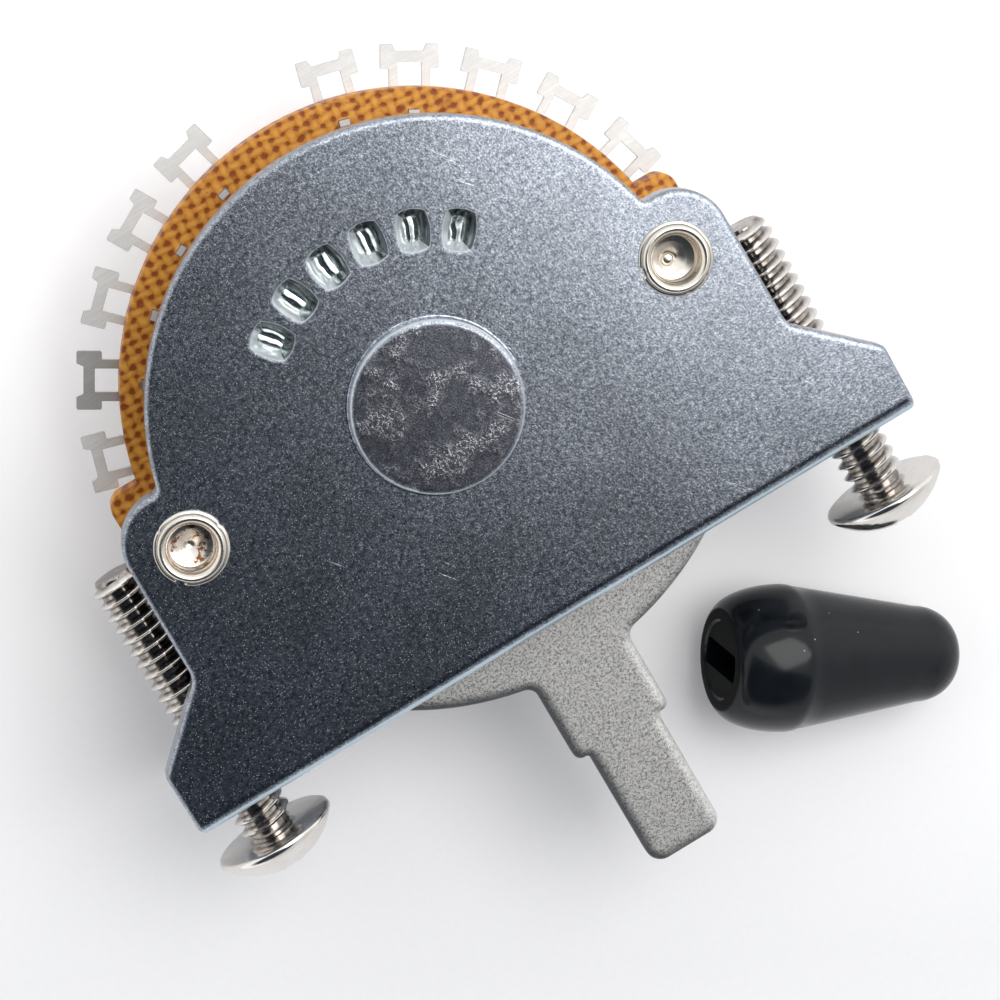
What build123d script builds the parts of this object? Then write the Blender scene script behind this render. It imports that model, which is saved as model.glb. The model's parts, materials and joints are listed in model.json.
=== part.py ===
from build123d import *
from math import atan2, cos, degrees, radians, sin, sqrt, tan
import os

os.makedirs("parts", exist_ok=True)

# A guitar pickup selector switch, in millimetres
# The origin is the middle of the lever slot on the face that lies against the guitar's panel
# X runs along the flange, +Y from the flange towards the solder lugs, +Z towards the bent frame's plate
# Z = 0 is the lever's mid-plane, which is also the line of the two mounting screws

# Frame
hole_spacing = 41.275
sheet = 1.5
pivot_back = 14.5
plate_rise = 6.5
flange_depth = 17.0
flange_end = 3.06
flange_corner_r = 2.0
bend_inner_r = 0.3
bend_outer_r = 0.9
frame_arc_r = 16.15
ear_r = 3.0
ear_out = 0.6
ear_back = 0.65
shoulder_step = 4.25
side_front = 6.34
side_corner_r = 1.2
shoulder_front = 10.35
shoulder_corner_r = 0.5
notch_r = 0.4
die_roll = 0.3
boss_r = 4.93
boss_rise = 0.8
boss_edge_r = 0.25
boss_root_r = 0.15

# Detent ribs, pressed inwards from the plate's outer face
rib_ring_r = 9.85
rib_step_angle = 15.0
rib_count = 6
rib_length = 2.4
rib_width = 1.9
rib_bow = 0.18
pocket_depth = 0.9
pocket_taper = 28.0
rib_drop = 0.8
rib_taper = 24.0

# Mounting screws
screw_r = 1.7
screw_length = 18.1
screw_head_r = 3.85
screw_head_rise = 1.9
screw_head_rim = 0.35
screw_tip_chamfer = 0.5
recess_width = 0.9
recess_span = 3.9
recess_depth = 1.3
recess_taper = 6.0
thread_clearance = 0.03
left_screw_out = 3.6
right_screw_out = 4.9

# Rivets, spacers and washers
rivet_half = 15.7
rivet_back = 0.2
rivet_r = 1.65
rivet_bore_r = 1.35
rivet_bore_depth = 1.1
rivet_bore_cone = 0.3
rivet_head_r = 2.15
rivet_head_rise = 0.45
rivet_foot = 0.4
rivet_clearance = 0.05
spacer_r = 2.2
washer_r = 2.6
washer_t = 0.4

# Lever
lever_t = 1.6
disc_r = 18.95
disc_half_angle = 51.0
lever_hub_r = 8.0
neck_width = 6.4
neck_front = 24.0
tip_width = 4.8
tip_front = 32.1
root_r = 0.8
neck_corner_r = 0.5
tip_root_r = 0.25
tip_corner_r = 1.0
lever_edge_r = 0.45
slot_end_gap = 0.6
slot_side_gap = 0.3

# Pivot stack
pivot_clearance = 0.05
end_play = 0.05
tang = 6.0
tang_clearance = 0.02
spring_t = 0.4
lever_spacer_t = 1.0
lever_spacer_gap = 0.1
post_r = 2.5
clip_t = 0.6
clip_r = 4.2
groove_r = 2.1
groove_play = 0.05
clip_mouth = 3.0

# Detent spring
loop_outer_r = 9.9
loop_inner_r = 7.4
loop_back = 1.2
tab_r = 5.4
tab_bridge = 6.0
flat_front = 4.5
nose_r = 0.4
nose_length = 2.2
nose_rise = 1.05
nose_gap = 0.1

# Wafer and rotor
wafer_t = 1.6
wafer_r = 17.22
wafer_ear_half = 19.0
wafer_ear_back = 3.5
wafer_ear_front = 3.0
wafer_ear_corner_r = 1.0
wafer_front = 9.4
rotor_r = 6.8
rotor_clearance = 0.08
blade_t = 0.3
blade_margin = 0.2
blade_width = 1.7
blade_first = 25.0
blade_sweep = 60.0
blade_space = 10.0
rotor_rivet_r = 0.45
rotor_rivet_inset = 12.0
rotor_rivet_rise = 0.15
rotor_rivet_clearance = 0.02

# Solder lugs
lug_pairs = 5
lug_step_angle = 14.7
lug_t = 0.4
lug_window_length = 1.35
lug_bar = 0.65
lug_horn_rise = 0.4
lug_shoulder_drop = 0.4
lug_half = 1.7
lug_horn = 0.7
lug_leg = 0.5
lug_window = 1.4
lug_body_inset = 1.7
lug_taper_run = 5.9
lug_horn_corner_r = 0.12
lug_horn_slope = 0.18
finger_half = 0.5
finger_inset = 0.05
finger_gap = 0.05
joggle_gap = 0.8
joggle_run = 1.0
prong_inset = 1.45
prong_t = 0.35
prong_width = 0.6
prong_rise = 0.3
prong_clearance = 0.03

# Lever cap, pulled off and lying beside the switch
cap_length = 15.87
cap_belly_at = 4.12
cap_belly_r = 4.57
cap_mouth_r = 2.8
cap_nose_r = 2.63
cap_nose_corner_r = 2.3
cap_nose_dome = 0.5
cap_x = 11.0
cap_front = 12.69
cap_turn = -32.5
cap_roll = 6.0
cap_socket_depth = 8.0
cap_socket_gap = 0.05

# Radii that follow from the sizes above
blade_outer_r = rotor_r - blade_margin
blade_inner_r = blade_outer_r - blade_width
rotor_rivet_ring_r = (blade_inner_r + blade_outer_r) / 2
lever_spacer_r = rotor_rivet_ring_r - rotor_rivet_r - lever_spacer_gap
finger_r = blade_inner_r + finger_inset
joggle_inner_r = rotor_r + joggle_gap
joggle_outer_r = joggle_inner_r + joggle_run
prong_r = wafer_r - prong_inset
lug_window_r = wafer_r
lug_body_r = lug_window_r - lug_body_inset
lug_taper_r = lug_body_r - lug_taper_run
lug_bar_r = lug_window_r + lug_window_length
lug_shoulder_r = lug_bar_r - lug_shoulder_drop
lug_hollow_r = lug_bar_r + lug_bar
lug_tip_r = lug_hollow_r + lug_horn_rise

# Levels along Z, all counted from the lever's mid-plane
plate_top = plate_rise
plate_under = plate_rise - sheet
flange_low = plate_rise - flange_depth
lever_top = lever_t / 2
lever_low = -lever_t / 2
spring_top = lever_top + spring_t
hub_top = plate_under + boss_rise - end_play
wafer_top = lever_low - lever_spacer_t
wafer_low = wafer_top - wafer_t
lug_low = wafer_low - lug_t
blade_low = wafer_low - blade_t
finger_top = blade_low - finger_gap
finger_low = finger_top - lug_t
washer_low = wafer_low - washer_t

# Places in plan
ear_x = rivet_half + ear_out
ear_y = rivet_back + ear_back
screw_x = hole_spacing / 2
flange_half = screw_x + flange_end
side_half = flange_half - shoulder_step
tang_hole = tang + 2 * tang_clearance
rivet_hole_r = rivet_r + rivet_clearance
neck_half = neck_width / 2
tip_half = tip_width / 2
rivet_places = [(-rivet_half, rivet_back), (rivet_half, rivet_back)]
rib_angles = [rib_step_angle * (i - (rib_count - 1) / 2) for i in range(rib_count)]
lug_angles = [lug_step_angle * k for k in range(-lug_pairs, lug_pairs + 1) if k != 0]
overrun = 5.0


def pivot_plane(height):
    """Level plane with its origin on the lever's turning axis."""
    return Plane(origin=(0, pivot_back, height))


def spoke(angle, height):
    """Level plane on the turning axis, its x direction at an angle from the back, towards +X."""
    turn = radians(angle)
    return Plane((0, pivot_back, height), x_dir=(sin(turn), cos(turn), 0), z_dir=(0, 0, 1))


def spoke_side(angle):
    """Upright plane through the turning axis, x outwards along the spoke and y up."""
    turn = radians(angle)
    return Plane((0, pivot_back, 0), x_dir=(sin(turn), cos(turn), 0), z_dir=(cos(turn), -sin(turn), 0))


def rib_plane(angle, height):
    """Level plane in the middle of one detent rib, x outwards."""
    turn = radians(angle)
    middle = (rib_ring_r * sin(turn), pivot_back + rib_ring_r * cos(turn), height)
    return Plane(middle, x_dir=(sin(turn), cos(turn), 0), z_dir=(0, 0, 1))


# Frame: one pressed and bent sheet with a plate, a flange, a raised boss and six detent ribs
frame_back = pivot_back + frame_arc_r
slot_half = sqrt(disc_r**2 - (pivot_back - sheet) ** 2) + slot_end_gap
slot_height = lever_t + 2 * slot_side_gap

with BuildPart() as frame:
    with BuildSketch(Plane.YZ) as bend_section:
        with BuildLine():
            Polyline(
                (0, flange_low),
                (sheet, flange_low),
                (sheet, plate_under),
                (frame_back, plate_under),
                (frame_back, plate_top),
                (0, plate_top),
                close=True,
            )
        make_face()
        fillet(bend_section.vertices().sort_by_distance((sheet, plate_under))[0], bend_inner_r)
        fillet(bend_section.vertices().sort_by_distance((0, plate_top))[0], bend_outer_r)
    extrude(amount=flange_half, both=True)

    with BuildSketch(pivot_plane(0)) as plan:
        Circle(frame_arc_r)
        with Locations((-ear_x, ear_y), (ear_x, ear_y)):
            Circle(ear_r)
        with BuildLine():
            Polyline(
                (ear_x + ear_r, ear_y),
                (side_half, -side_front),
                (flange_half + overrun, -shoulder_front - overrun * (shoulder_front - side_front)
                 / (flange_half - side_half)),
                (flange_half + overrun, -pivot_back - overrun),
                (-flange_half - overrun, -pivot_back - overrun),
                (-flange_half - overrun, -shoulder_front - overrun * (shoulder_front - side_front)
                 / (flange_half - side_half)),
                (-side_half, -side_front),
                (-ear_x - ear_r, ear_y),
                close=True,
            )
        make_face()
        notches = plan.vertices().filter_by(lambda v: v.Y > ear_y + notch_r)
        fillet(notches, notch_r)
        fillet(plan.vertices().sort_by_distance((side_half, -side_front))[0], side_corner_r)
        fillet(plan.vertices().sort_by_distance((-side_half, -side_front))[0], side_corner_r)
    extrude(amount=flange_depth, both=True, mode=Mode.INTERSECT)

    flange_corners = frame.edges().filter_by(Axis.Y).group_by(Axis.Z)[0]
    fillet(flange_corners, flange_corner_r)
    shoulder_line = pivot_back - shoulder_front
    shoulders = frame.edges().filter_by(Axis.Z).filter_by(
        lambda e: abs(abs(e.center().X) - flange_half) < notch_r and abs(e.center().Y - shoulder_line) < notch_r
    )
    fillet(shoulders, shoulder_corner_r)
    rim = frame.faces().sort_by(Axis.Z)[-1].edges()
    fillet(rim.filter_by(lambda e: e.center().Y > bend_outer_r + die_roll), die_roll)

    with BuildSketch(Plane.XZ):
        SlotOverall(2 * slot_half, slot_height)
        with Locations((-screw_x, 0), (screw_x, 0)):
            Circle(screw_r + thread_clearance)
    extrude(amount=2 * sheet, both=True, mode=Mode.SUBTRACT)

    with BuildSketch(pivot_plane(plate_under)):
        with Locations(*rivet_places):
            Circle(rivet_hole_r)
    extrude(amount=2 * sheet, both=True, mode=Mode.SUBTRACT)

    with BuildSketch(pivot_plane(plate_top)):
        Circle(boss_r)
    extrude(amount=boss_rise)
    with BuildSketch(pivot_plane(plate_under)):
        Circle(boss_r)
    extrude(amount=boss_rise, mode=Mode.SUBTRACT)
    boss_rings = frame.edges().filter_by(GeomType.CIRCLE).filter_by(
        lambda e: abs(e.radius - boss_r) < boss_edge_r / 10 and e.center().Z > plate_top - die_roll
    )
    fillet(boss_rings.sort_by(Axis.Z)[-1], boss_edge_r)
    fillet(boss_rings.sort_by(Axis.Z)[0], boss_root_r)

    rib_x = rib_length / 2 - rib_bow
    rib_y = rib_width / 2 - rib_bow
    for height, depth, taper, mode in (
        (plate_under, rib_drop, rib_taper, Mode.ADD),
        (plate_top, pocket_depth, pocket_taper, Mode.SUBTRACT),
    ):
        for angle in rib_angles:
            with BuildSketch(rib_plane(angle, height)):
                with BuildLine():
                    ThreePointArc((rib_x, -rib_y), (rib_x + rib_bow, 0), (rib_x, rib_y))
                    ThreePointArc((rib_x, rib_y), (0, rib_y + rib_bow), (-rib_x, rib_y))
                    ThreePointArc((-rib_x, rib_y), (-rib_x - rib_bow, 0), (-rib_x, -rib_y))
                    ThreePointArc((-rib_x, -rib_y), (0, -rib_y - rib_bow), (rib_x, -rib_y))
                make_face()
            extrude(amount=-depth, taper=taper, mode=mode)
frame.part.label = "frame"
export_step(frame.part, "parts/frame.step")


# Tubular spacers between the plate and the wafer, the rivets through them with rolled heads, and washers
def rivet_column(place):
    """Upright plane through one rivet's axis, x outwards from it and y up."""
    return Plane((place[0], pivot_back + place[1], 0), x_dir=(1, 0, 0), z_dir=(0, -1, 0))


def rivet_axis(place):
    """One rivet's own axis."""
    return Axis((place[0], pivot_back + place[1], 0), (0, 0, 1))


for side, place in zip(("left", "right"), rivet_places):
    with BuildPart() as spacer:
        with BuildSketch(pivot_plane(wafer_top)):
            with Locations(place):
                Circle(spacer_r)
                Circle(rivet_hole_r, mode=Mode.SUBTRACT)
        extrude(amount=plate_under - wafer_top)
    spacer.part.label = "spacer_" + side
    export_step(spacer.part, "parts/spacer_" + side + ".step")

    with BuildPart() as washer:
        with BuildSketch(pivot_plane(washer_low)):
            with Locations(place):
                Circle(washer_r)
                Circle(rivet_hole_r, mode=Mode.SUBTRACT)
        extrude(amount=washer_t)
    washer.part.label = "rivet_washer_" + side
    export_step(washer.part, "parts/rivet_washer_" + side + ".step")

    with BuildPart() as rivet:
        with BuildSketch(rivet_column(place)):
            with BuildLine():
                roll_middle = (rivet_bore_r + rivet_head_r) / 2
                floor = plate_top - rivet_bore_depth
                Polyline((0, floor - rivet_bore_cone), (rivet_bore_r, floor), (rivet_bore_r, plate_top))
                ThreePointArc(
                    (rivet_bore_r, plate_top),
                    (roll_middle, plate_top + rivet_head_rise),
                    (rivet_head_r, plate_top),
                )
                Polyline(
                    (rivet_head_r, plate_top),
                    (rivet_r, plate_top),
                    (rivet_r, washer_low),
                    (rivet_head_r, washer_low),
                    (rivet_head_r, washer_low - rivet_foot),
                    (0, washer_low - rivet_foot),
                    (0, floor - rivet_bore_cone),
                )
            make_face()
        revolve(axis=rivet_axis(place))
    rivet.part.label = "rivet_" + side
    export_step(rivet.part, "parts/rivet_" + side + ".step")

# Mounting screws, turned a little way into the flange's tapped holes
for side, x, head_out in (("left", -screw_x, left_screw_out), ("right", screw_x, right_screw_out)):
    with BuildPart() as screw:
        with BuildSketch(Plane((x, -head_out, 0), x_dir=(1, 0, 0), z_dir=(0, 0, 1))):
            with BuildLine():
                rim = Line((screw_head_r, 0), (screw_head_r, -screw_head_rim))
                dome_top = -screw_head_rim - screw_head_rise
                dome_r = (screw_head_r**2 + screw_head_rise**2) / (2 * screw_head_rise)
                RadiusArc((0, dome_top), rim @ 1, -dome_r)
                Polyline(
                    (0, dome_top),
                    (0, screw_length),
                    (screw_r - screw_tip_chamfer, screw_length),
                    (screw_r, screw_length - screw_tip_chamfer),
                    (screw_r, 0),
                    (screw_head_r, 0),
                )
            make_face()
        revolve(axis=Axis((x, 0, 0), (0, 1, 0)))
        recess_plane = Plane((x, dome_top - head_out, 0), x_dir=(1, 0, 0), z_dir=(0, -1, 0))
        with BuildSketch(recess_plane):
            Rectangle(recess_span, recess_width)
            Rectangle(recess_width, recess_span)
        extrude(amount=-recess_depth, taper=recess_taper, mode=Mode.SUBTRACT)
    screw.part.label = "mounting_screw_" + side
    export_step(screw.part, "parts/mounting_screw_" + side + ".step")

# Wafer: insulating board with the rotor's round hole, the rivet holes and slots for the lugs' prongs
with BuildPart() as wafer:
    with BuildSketch(pivot_plane(wafer_low)) as board:
        Circle(wafer_r)
        with Locations((0, wafer_r - wafer_front)):
            Rectangle(2 * wafer_r, 2 * wafer_r, mode=Mode.INTERSECT)
        with Locations((0, (wafer_ear_back - wafer_ear_front) / 2)):
            RectangleRounded(2 * wafer_ear_half, wafer_ear_back + wafer_ear_front, wafer_ear_corner_r)
        Circle(rotor_r + rotor_clearance, mode=Mode.SUBTRACT)
        with Locations(*rivet_places):
            Circle(rivet_hole_r, mode=Mode.SUBTRACT)
    extrude(amount=wafer_t)
    with BuildSketch(*[spoke(angle, wafer_low) for angle in lug_angles]):
        with Locations((prong_r, 0)):
            Rectangle(prong_t + 2 * prong_clearance, prong_width + 2 * prong_clearance)
    extrude(amount=wafer_t, mode=Mode.SUBTRACT)
wafer.part.label = "wafer"
export_step(wafer.part, "parts/wafer.step")

# Solder lugs: forked end outside the wafer, a prong through it, contact finger under the rotor
leg_outer = lug_window / 2 + lug_leg

for number, angle in enumerate(lug_angles, start=1):
    with BuildPart() as lug:
        with BuildSketch(spoke_side(angle)):
            with BuildLine():
                Polyline(
                    (lug_tip_r, wafer_low),
                    (joggle_outer_r, wafer_low),
                    (joggle_inner_r, finger_top),
                    (finger_r, finger_top),
                    (finger_r, finger_low),
                    (joggle_inner_r, finger_low),
                    (joggle_outer_r, lug_low),
                    (lug_tip_r, lug_low),
                    close=True,
                )
            make_face()
        extrude(amount=lug_half, both=True)
        with BuildSketch(spoke(angle, 0)) as outline:
            with BuildLine():
                Polyline(
                    (lug_tip_r, lug_half - lug_horn),
                    (lug_tip_r, lug_half),
                    (lug_shoulder_r, lug_half),
                    (lug_shoulder_r, leg_outer),
                    (lug_body_r, leg_outer),
                    (lug_taper_r, finger_half),
                    (finger_r, finger_half),
                    (finger_r, -finger_half),
                    (lug_taper_r, -finger_half),
                    (lug_body_r, -leg_outer),
                    (lug_shoulder_r, -leg_outer),
                    (lug_shoulder_r, -lug_half),
                    (lug_tip_r, -lug_half),
                    (lug_tip_r, lug_horn - lug_half),
                    (lug_hollow_r, lug_horn + lug_horn_slope - lug_half),
                    (lug_hollow_r, lug_half - lug_horn - lug_horn_slope),
                    close=True,
                )
            make_face()
            horns = outline.vertices().filter_by(lambda v: abs(v.Y) > leg_outer + finger_gap)
            fillet(horns, lug_horn_corner_r)
            with Locations(((lug_window_r + lug_bar_r) / 2, 0)):
                Rectangle(lug_bar_r - lug_window_r, lug_window, mode=Mode.SUBTRACT)
        extrude(amount=flange_depth, both=True, mode=Mode.INTERSECT)
        with BuildSketch(spoke(angle, wafer_low)):
            with Locations((prong_r, 0)):
                Rectangle(prong_t, prong_width)
        extrude(amount=wafer_t + prong_rise)
    lug.part.label = f"lug_{number}"
    export_step(lug.part, f"parts/lug_{number}.step")

# Lever: flat stamping, a wide sector that closes the slot, a neck and the narrow tip for the cap
half = radians(disc_half_angle)
neck_root = sqrt(disc_r**2 - neck_half**2)
with BuildPart() as lever:
    with BuildSketch(pivot_plane(lever_low)) as blank:
        with BuildLine():
            start = (disc_r * sin(half), -disc_r * cos(half))
            Line((0, 0), start)
            ThreePointArc(start, (0, -disc_r), (-start[0], start[1]))
            Line((-start[0], start[1]), (0, 0))
        make_face()
        Circle(lever_hub_r)
        with Locations((0, -neck_front / 2)):
            Rectangle(2 * neck_half, neck_front)
        with Locations((0, -tip_front / 2)):
            Rectangle(2 * tip_half, tip_front)
        for x in (-1, 1):
            fillet(blank.vertices().sort_by_distance((x * neck_half, -neck_root))[0], root_r)
            fillet(blank.vertices().sort_by_distance((x * neck_half, -neck_front))[0], neck_corner_r)
            fillet(blank.vertices().sort_by_distance((x * tip_half, -neck_front))[0], tip_root_r)
            fillet(blank.vertices().sort_by_distance((x * tip_half, -tip_front))[0], tip_corner_r)
    extrude(amount=lever_t)
    top_rim = lever.faces().sort_by(Axis.Z)[-1].edges()
    fillet(top_rim.filter_by(lambda e: e.center().Y < pivot_back - lever_hub_r), lever_edge_r)
    with BuildSketch(pivot_plane(lever_low)):
        Rectangle(tang_hole, tang_hole)
    extrude(amount=lever_t, mode=Mode.SUBTRACT)
lever.part.label = "lever"
export_step(lever.part, "parts/lever.step")

# Pivot hub: journal in the frame's boss, square tang through lever and rotor, round post with a groove
with BuildPart() as pivot_hub:
    with BuildSketch(pivot_plane(spring_top)):
        Circle(boss_r - pivot_clearance)
    extrude(amount=hub_top - spring_top)
    with BuildSketch(pivot_plane(wafer_low)):
        Rectangle(tang, tang)
    extrude(amount=spring_top - wafer_low)
    with BuildSketch(pivot_plane(flange_low)):
        Circle(post_r)
    extrude(amount=wafer_low - flange_low)
    with BuildSketch(pivot_plane(wafer_low)):
        Circle(post_r + groove_play)
        Circle(groove_r, mode=Mode.SUBTRACT)
    extrude(amount=-(clip_t + groove_play), mode=Mode.SUBTRACT)
pivot_hub.part.label = "pivot_hub"
export_step(pivot_hub.part, "parts/pivot_hub.step")

# Detent spring: flat tab clamped on the lever, and a loop that rises to a nose between two ribs
nose_top = plate_under - nose_gap
loop_slope = atan2(nose_top - nose_rise - spring_top, rib_ring_r + flat_front)
loop_reach = loop_outer_r + loop_back
with BuildPart() as detent_spring:
    with BuildSketch(Plane(origin=(0, pivot_back, 0), x_dir=(0, 1, 0), z_dir=(1, 0, 0))):
        with BuildLine():
            climb = (loop_reach + flat_front) * tan(loop_slope)
            Polyline(
                (-loop_reach, lever_top),
                (-flat_front, lever_top),
                (loop_reach, lever_top + climb),
                (loop_reach, spring_top + climb),
                (-flat_front, spring_top),
                (-loop_reach, spring_top),
                close=True,
            )
        make_face()
    extrude(amount=loop_outer_r, both=True)
    with BuildSketch(pivot_plane(0)):
        with Locations((0, loop_back)):
            Circle(loop_outer_r)
            Circle(loop_inner_r, mode=Mode.SUBTRACT)
    extrude(amount=flange_depth, mode=Mode.INTERSECT)
    with BuildSketch(pivot_plane(lever_top)):
        Circle(tab_r)
        with Locations((0, (loop_back - loop_inner_r - tab_r) / 2)):
            Rectangle(tab_bridge, tab_r)
        Rectangle(tang_hole, tang_hole, mode=Mode.SUBTRACT)
    extrude(amount=spring_t)
    nose_start = pivot_back + rib_ring_r - nose_length / 2
    with BuildSketch(Plane((0, nose_start, 0), x_dir=(-1, 0, 0), z_dir=(0, 1, 0))):
        with Locations((0, nose_top - nose_r)):
            Circle(nose_r)
        with Locations((0, nose_top - (nose_r + nose_rise) / 2)):
            Rectangle(2 * nose_r, nose_rise - nose_r)
    extrude(amount=nose_length)
detent_spring.part.label = "detent_spring"
export_step(detent_spring.part, "parts/detent_spring.step")

# Spacing washer between the lever and the rotor
with BuildPart() as lever_spacer:
    with BuildSketch(pivot_plane(wafer_top)):
        Circle(lever_spacer_r)
        Rectangle(tang_hole, tang_hole, mode=Mode.SUBTRACT)
    extrude(amount=lever_spacer_t)
lever_spacer.part.label = "lever_spacer"
export_step(lever_spacer.part, "parts/lever_spacer.step")

# Rotor: insulating disc in the wafer's hole, with two contact blades riveted under it
blade_starts = [blade_first, blade_first + blade_sweep + blade_space]
rivet_turns = [
    start + step for start in blade_starts for step in (rotor_rivet_inset, blade_sweep - rotor_rivet_inset)
]
rotor_rivet_places = [
    (rotor_rivet_ring_r * cos(radians(turn)), rotor_rivet_ring_r * sin(radians(turn))) for turn in rivet_turns
]

with BuildPart() as rotor:
    with BuildSketch(pivot_plane(wafer_low)):
        Circle(rotor_r)
        Rectangle(tang_hole, tang_hole, mode=Mode.SUBTRACT)
        with Locations(*rotor_rivet_places):
            Circle(rotor_rivet_r + rotor_rivet_clearance, mode=Mode.SUBTRACT)
    extrude(amount=wafer_t)
rotor.part.label = "rotor"
export_step(rotor.part, "parts/rotor.step")

for number, start in enumerate(blade_starts, start=1):
    with BuildPart() as blade:
        with BuildSketch(pivot_plane(blade_low)):
            with BuildLine():
                inner = CenterArc((0, 0), blade_inner_r, start, blade_sweep)
                outer = CenterArc((0, 0), blade_outer_r, start, blade_sweep)
                Line(inner @ 0, outer @ 0)
                Line(inner @ 1, outer @ 1)
            make_face()
            with Locations(*rotor_rivet_places):
                Circle(rotor_rivet_r + rotor_rivet_clearance, mode=Mode.SUBTRACT)
        extrude(amount=blade_t)
    blade.part.label = f"rotor_blade_{number}"
    export_step(blade.part, f"parts/rotor_blade_{number}.step")

with BuildPart() as rotor_rivets:
    with BuildSketch(pivot_plane(blade_low)):
        with Locations(*rotor_rivet_places):
            Circle(rotor_rivet_r)
    extrude(amount=blade_t + wafer_t + rotor_rivet_rise)
rotor_rivets.part.label = "rotor_rivets"
export_step(rotor_rivets.part, "parts/rotor_rivets.step")

# Retaining clip in the post's groove, open to one side
with BuildPart() as retaining_clip:
    with BuildSketch(pivot_plane(wafer_low - clip_t)):
        Circle(clip_r)
        Circle(groove_r + groove_play, mode=Mode.SUBTRACT)
        with Locations((0, -clip_r)):
            Rectangle(clip_mouth, 2 * clip_r, mode=Mode.SUBTRACT)
    extrude(amount=clip_t)
retaining_clip.part.label = "retaining_clip"
export_step(retaining_clip.part, "parts/retaining_clip.step")

# Lever cap: rounded barrel with a tapered end and a flat socket, resting on its tapered side
taper_run = cap_length - cap_belly_at
cap_lean = atan2(cap_belly_r - cap_nose_r, taper_run - cap_nose_dome)
cap_turn_rad = radians(cap_turn)
cap_middle = (cap_x, -cap_front, flange_low + cap_belly_r * cos(cap_lean))
cap_along = (cos(cap_turn_rad) * cos(cap_lean), sin(cap_turn_rad) * cos(cap_lean), -sin(cap_lean))
cap_across = (-sin(cap_turn_rad), cos(cap_turn_rad), 0)
cap_plane = Plane(cap_middle, x_dir=cap_along, z_dir=cap_across)
cap_mouth = Plane(cap_middle, x_dir=cap_across, z_dir=cap_along).offset(-cap_belly_at).rotated((0, 0, cap_roll))

with BuildPart() as lever_cap:
    with BuildSketch(cap_plane):
        with BuildLine():
            Line((-cap_belly_at, 0), (-cap_belly_at, cap_mouth_r))
            Spline((-cap_belly_at, cap_mouth_r), (0, cap_belly_r), tangents=((0.35, 1), (1, 0)))
            Line((0, cap_belly_r), (taper_run - cap_nose_dome, cap_nose_r))
            ThreePointArc(
                (taper_run - cap_nose_dome, cap_nose_r),
                (taper_run - cap_nose_dome / 4, cap_nose_r / 2),
                (taper_run, 0),
            )
            Line((taper_run, 0), (-cap_belly_at, 0))
        make_face()
    revolve(axis=Axis(cap_middle, cap_along))
    nose_ring = lever_cap.edges().filter_by(GeomType.CIRCLE).filter_by(
        lambda e: abs(e.radius - cap_nose_r) < cap_socket_gap
    )
    fillet(nose_ring, cap_nose_corner_r)
    with BuildSketch(cap_mouth):
        Rectangle(lever_t + 2 * cap_socket_gap, 2 * tip_half + 2 * cap_socket_gap)
    extrude(amount=cap_socket_depth, mode=Mode.SUBTRACT)
lever_cap.part.label = "lever_cap"
export_step(lever_cap.part, "parts/lever_cap.step")

print("cap leans", round(degrees(cap_lean), 2), "degrees; slot half length", round(slot_half, 3))
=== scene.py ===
import json
from math import asin, atan2, ceil, cos, pi, radians, sin, tau

import bmesh
import bpy
from mathutils import Matrix, Vector


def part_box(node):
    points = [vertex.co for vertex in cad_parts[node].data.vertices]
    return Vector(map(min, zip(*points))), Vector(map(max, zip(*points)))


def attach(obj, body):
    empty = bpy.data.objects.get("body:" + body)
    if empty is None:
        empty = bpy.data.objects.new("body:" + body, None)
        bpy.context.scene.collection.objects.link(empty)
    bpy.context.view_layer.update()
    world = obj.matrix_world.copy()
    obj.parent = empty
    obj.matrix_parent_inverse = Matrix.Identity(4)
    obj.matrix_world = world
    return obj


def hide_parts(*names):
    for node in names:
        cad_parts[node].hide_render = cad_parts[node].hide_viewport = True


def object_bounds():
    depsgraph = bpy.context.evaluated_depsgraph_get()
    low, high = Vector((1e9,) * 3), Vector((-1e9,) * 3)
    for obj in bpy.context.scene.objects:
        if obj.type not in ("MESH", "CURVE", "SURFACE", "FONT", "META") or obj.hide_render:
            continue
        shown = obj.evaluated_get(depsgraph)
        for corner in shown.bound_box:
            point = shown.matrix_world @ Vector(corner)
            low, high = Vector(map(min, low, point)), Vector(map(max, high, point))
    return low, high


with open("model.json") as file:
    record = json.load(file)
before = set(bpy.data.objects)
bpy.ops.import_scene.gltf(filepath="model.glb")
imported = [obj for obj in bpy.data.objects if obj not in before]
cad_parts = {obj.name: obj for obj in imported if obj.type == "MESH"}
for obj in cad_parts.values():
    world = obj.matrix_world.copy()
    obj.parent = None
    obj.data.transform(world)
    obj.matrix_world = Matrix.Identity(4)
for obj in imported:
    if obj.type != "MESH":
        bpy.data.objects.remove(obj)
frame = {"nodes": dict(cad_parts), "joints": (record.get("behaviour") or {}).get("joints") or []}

bl_info = {
    "name": "Guitar pickup selector switch",
    "version": (1, 0, 0),
    "blender": (4, 5, 0),
    "location": "View3D > Sidebar > Selector switch",
    "description": "Finishes a guitar's pickup selector switch and models its screws, rivets and lever cap",
    "category": "Object",
}

# The object's own sizes and places, in millimetres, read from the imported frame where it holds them
MM = 0.001
LUG_COUNT = 10
# The lug painted darker as shade
DULL_LUG = 2
cad_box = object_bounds()
floor_height = cad_box[0][2]
pivot_back = frame["joints"][0]["pos_m"][1] / MM
boss_r = 4.93
boss_rise = 0.8
rib_ring_r = 9.85
rib_half_length = 1.35
rivet_rise = 0.45
plate_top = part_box("rivet_left")[1][2] / MM - rivet_rise
bend_r = 0.9
screw_crest_r = 1.7
cap_mouth_heading = (-0.831, 0.530, 0.170)
cap_ring_at = (11.0, -12.69)

# Headings of the pockets' walls and the lever's sides that get painted highlight or painted shade
LIT_WALL = (0.967, 0.253, 0.0)
SHADE_PAINTED_SIDES = (-0.72, -0.69, 0.0)
HIGHLIGHT_PAINTED_SIDE = (0.95, 0.31, 0.0)

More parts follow.
